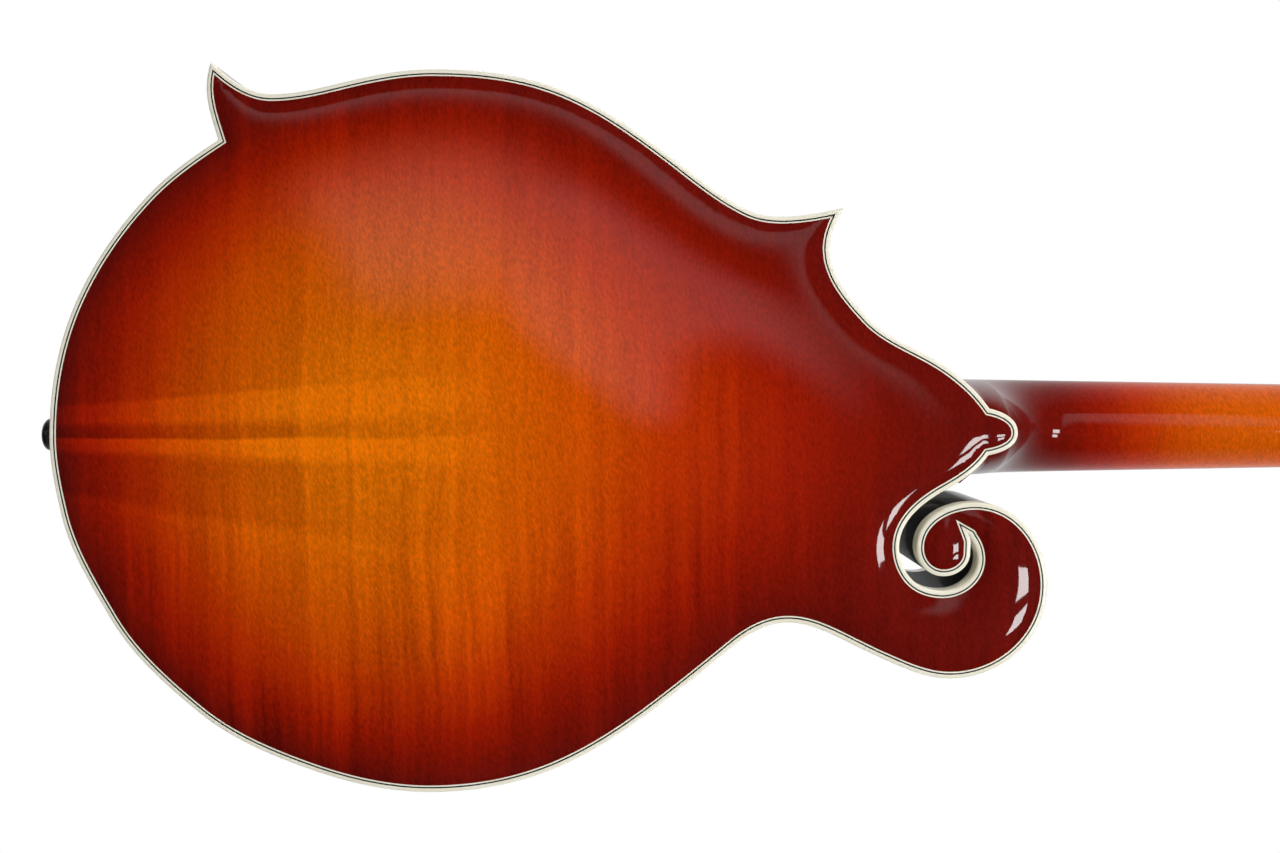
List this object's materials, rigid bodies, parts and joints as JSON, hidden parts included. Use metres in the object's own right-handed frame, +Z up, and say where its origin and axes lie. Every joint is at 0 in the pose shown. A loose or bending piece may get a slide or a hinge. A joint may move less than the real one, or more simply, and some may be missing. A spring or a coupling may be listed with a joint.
{
  "type": "mandolin",
  "caption": "Carved arched mandolin with a scroll body, bound edges, floating bridge, sliding-cover tailpiece and worm-geared tuning machines, hung by its neck.",
  "frame": {"origin": "in the middle of the neck's thickness at the nut, where a hanger's yoke takes the instrument", "axes": "+Z up the neck towards the headstock, -Y out of the soundboard, +Y out of the back, +X to the treble side and -X to the scroll side"},
  "size_m": [0.2575, 0.1173, 0.6989],
  "materials": {
    "burst_maple": "gloss lacquer over flamed maple, sunburst from amber to wine red",
    "burst_spruce": "gloss lacquer over spruce, sunburst",
    "bare_maple": "bare sawn maple",
    "bare_spruce": "bare planed spruce",
    "ivory_binding": "polished cream celluloid",
    "black_line": "polished black",
    "ebony": "oiled ebony, satin",
    "black_gloss": "polished black",
    "fret_wire": "polished nickel silver",
    "pearl": "polished pearl",
    "bone": "polished bone",
    "steel": "plain steel",
    "brass": "polished brass",
    "nickel": "nickel plate",
    "pearl_button": "pearloid button on a nickel-plated shaft",
    "plain_string": "bright drawn steel",
    "wound_string": "bronze winding on steel"
  },
  "bodies": {
    "instrument": {"back_plate": "burst_maple", "top_plate": "burst_spruce", "rim": "burst_maple", "head_block": "bare_maple", "tail_block": "bare_maple", "point_blocks": "bare_maple", "back_lining": "bare_maple", "top_lining": "bare_maple", "tone_bars": "bare_spruce", "back_binding": "ivory_binding", "top_binding": "ivory_binding", "back_line_black": "black_line", "back_line_white": "ivory_binding", "top_line_black": "black_line", "top_line_white": "ivory_binding", "neck": "burst_maple", "fingerboard": "ebony", "fingerboard_binding": "ivory_binding", "frets": "fret_wire", "fret_markers": "pearl", "nut": "bone", "truss_rod": "steel", "truss_rod_cover": "black_gloss", "truss_cover_screws": "steel", "headstock_veneer": "black_gloss", "headstock_binding": "ivory_binding", "bridge_base": "ebony", "bridge_posts": "brass", "tailpiece_base": "nickel", "tailpiece_screws": "steel", "end_pin": "black_gloss", "strings_e": "plain_string", "strings_a": "plain_string", "strings_d": "wound_string", "strings_g": "wound_string", "machine_plate_bass": "nickel", "machine_plate_treble": "nickel", "machine_screws": "steel", "post_bushings": "nickel"},
    "key_1": {"tuner_key_1": "pearl_button"},
    "key_2": {"tuner_key_2": "pearl_button"},
    "key_3": {"tuner_key_3": "pearl_button"},
    "key_4": {"tuner_key_4": "pearl_button"},
    "key_5": {"tuner_key_5": "pearl_button"},
    "key_6": {"tuner_key_6": "pearl_button"},
    "key_7": {"tuner_key_7": "pearl_button"},
    "key_8": {"tuner_key_8": "pearl_button"},
    "post_1": {"string_post_1": "nickel"},
    "post_2": {"string_post_2": "nickel"},
    "post_3": {"string_post_3": "nickel"},
    "post_4": {"string_post_4": "nickel"},
    "post_5": {"string_post_5": "nickel"},
    "post_6": {"string_post_6": "nickel"},
    "post_7": {"string_post_7": "nickel"},
    "post_8": {"string_post_8": "nickel"},
    "tail_cover": {"tailpiece_cover": "nickel"},
    "saddle": {"bridge_saddle": "ebony"},
    "wheel_bass": {"thumbwheel_bass": "brass"},
    "wheel_treble": {"thumbwheel_treble": "brass"},
    "rod_nut": {"truss_rod_nut": "brass"}
  },
  "joints": [
    {"name": "tuner_key_1_turn", "type": "hinge", "parent": "instrument", "child": "key_1", "pos_m": [-0.0185, 0.02722, 0.03426], "axis": [-1, 0, 0], "continuous": true},
    {"name": "tuner_key_2_turn", "type": "hinge", "parent": "instrument", "child": "key_2", "pos_m": [-0.0185, 0.03553, 0.05592], "axis": [-1, 0, 0], "continuous": true},
    {"name": "tuner_key_3_turn", "type": "hinge", "parent": "instrument", "child": "key_3", "pos_m": [-0.0185, 0.04385, 0.07758], "axis": [-1, 0, 0], "continuous": true},
    {"name": "tuner_key_4_turn", "type": "hinge", "parent": "instrument", "child": "key_4", "pos_m": [-0.0185, 0.05216, 0.09924], "axis": [-1, 0, 0], "continuous": true},
    {"name": "tuner_key_5_turn", "type": "hinge", "parent": "instrument", "child": "key_5", "pos_m": [0.0185, 0.02722, 0.03426], "axis": [-1, 0, 0], "continuous": true},
    {"name": "tuner_key_6_turn", "type": "hinge", "parent": "instrument", "child": "key_6", "pos_m": [0.0185, 0.03553, 0.05592], "axis": [-1, 0, 0], "continuous": true},
    {"name": "tuner_key_7_turn", "type": "hinge", "parent": "instrument", "child": "key_7", "pos_m": [0.0185, 0.04385, 0.07758], "axis": [-1, 0, 0], "continuous": true},
    {"name": "tuner_key_8_turn", "type": "hinge", "parent": "instrument", "child": "key_8", "pos_m": [0.0185, 0.05216, 0.09924], "axis": [-1, 0, 0], "continuous": true},
    {"name": "string_post_1_turn", "type": "hinge", "parent": "instrument", "child": "post_1", "pos_m": [-0.0185, 0.0246, 0.02745], "axis": [0, -0.9336, 0.3584], "continuous": true},
    {"name": "string_post_2_turn", "type": "hinge", "parent": "instrument", "child": "post_2", "pos_m": [-0.0185, 0.03292, 0.04911], "axis": [0, -0.9336, 0.3584], "continuous": true},
    {"name": "string_post_3_turn", "type": "hinge", "parent": "instrument", "child": "post_3", "pos_m": [-0.0185, 0.04123, 0.07077], "axis": [0, -0.9336, 0.3584], "continuous": true},
    {"name": "string_post_4_turn", "type": "hinge", "parent": "instrument", "child": "post_4", "pos_m": [-0.0185, 0.04954, 0.09243], "axis": [0, -0.9336, 0.3584], "continuous": true},
    {"name": "string_post_5_turn", "type": "hinge", "parent": "instrument", "child": "post_5", "pos_m": [0.0185, 0.0246, 0.02745], "axis": [0, -0.9336, 0.3584], "continuous": true},
    {"name": "string_post_6_turn", "type": "hinge", "parent": "instrument", "child": "post_6", "pos_m": [0.0185, 0.03292, 0.04911], "axis": [0, -0.9336, 0.3584], "continuous": true},
    {"name": "string_post_7_turn", "type": "hinge", "parent": "instrument", "child": "post_7", "pos_m": [0.0185, 0.04123, 0.07077], "axis": [0, -0.9336, 0.3584], "continuous": true},
    {"name": "string_post_8_turn", "type": "hinge", "parent": "instrument", "child": "post_8", "pos_m": [0.0185, 0.04954, 0.09243], "axis": [0, -0.9336, 0.3584], "continuous": true},
    {"name": "tailpiece_cover_slide", "type": "slide", "parent": "instrument", "child": "tail_cover", "axis": [0, -0.1478, 0.989], "range_m": [0, 0.011]},
    {"name": "saddle_height", "type": "slide", "parent": "instrument", "child": "saddle", "axis": [0, -1, 0], "range_m": [-0.002, 0]},
    {"name": "thumbwheel_bass_turn", "type": "hinge", "parent": "saddle", "child": "wheel_bass", "pos_m": [-0.038, -0.0423, -0.35107], "axis": [0, -1, 0], "range_deg": [-1030, 10]},
    {"name": "thumbwheel_treble_turn", "type": "hinge", "parent": "saddle", "child": "wheel_treble", "pos_m": [0.038, -0.0423, -0.35107], "axis": [0, -1, 0], "range_deg": [-1030, 10]},
    {"name": "truss_rod_nut_turn", "type": "hinge", "parent": "instrument", "child": "rod_nut", "pos_m": [0, 0.00392, 0.00799], "axis": [0, 0.1045, 0.9945], "range_deg": [-90, 90]}
  ],
  "couplings": [
    {"joint": "string_post_1_turn", "follows": "tuner_key_1_turn", "ratio": -0.0625},
    {"joint": "string_post_2_turn", "follows": "tuner_key_2_turn", "ratio": -0.0625},
    {"joint": "string_post_3_turn", "follows": "tuner_key_3_turn", "ratio": -0.0625},
    {"joint": "string_post_4_turn", "follows": "tuner_key_4_turn", "ratio": -0.0625},
    {"joint": "string_post_5_turn", "follows": "tuner_key_5_turn", "ratio": 0.0625},
    {"joint": "string_post_6_turn", "follows": "tuner_key_6_turn", "ratio": 0.0625},
    {"joint": "string_post_7_turn", "follows": "tuner_key_7_turn", "ratio": 0.0625},
    {"joint": "string_post_8_turn", "follows": "tuner_key_8_turn", "ratio": 0.0625},
    {"joint": "thumbwheel_bass_turn", "follows": "saddle_height", "rad_per_m": 8976},
    {"joint": "thumbwheel_treble_turn", "follows": "saddle_height", "rad_per_m": 8976}
  ]
}
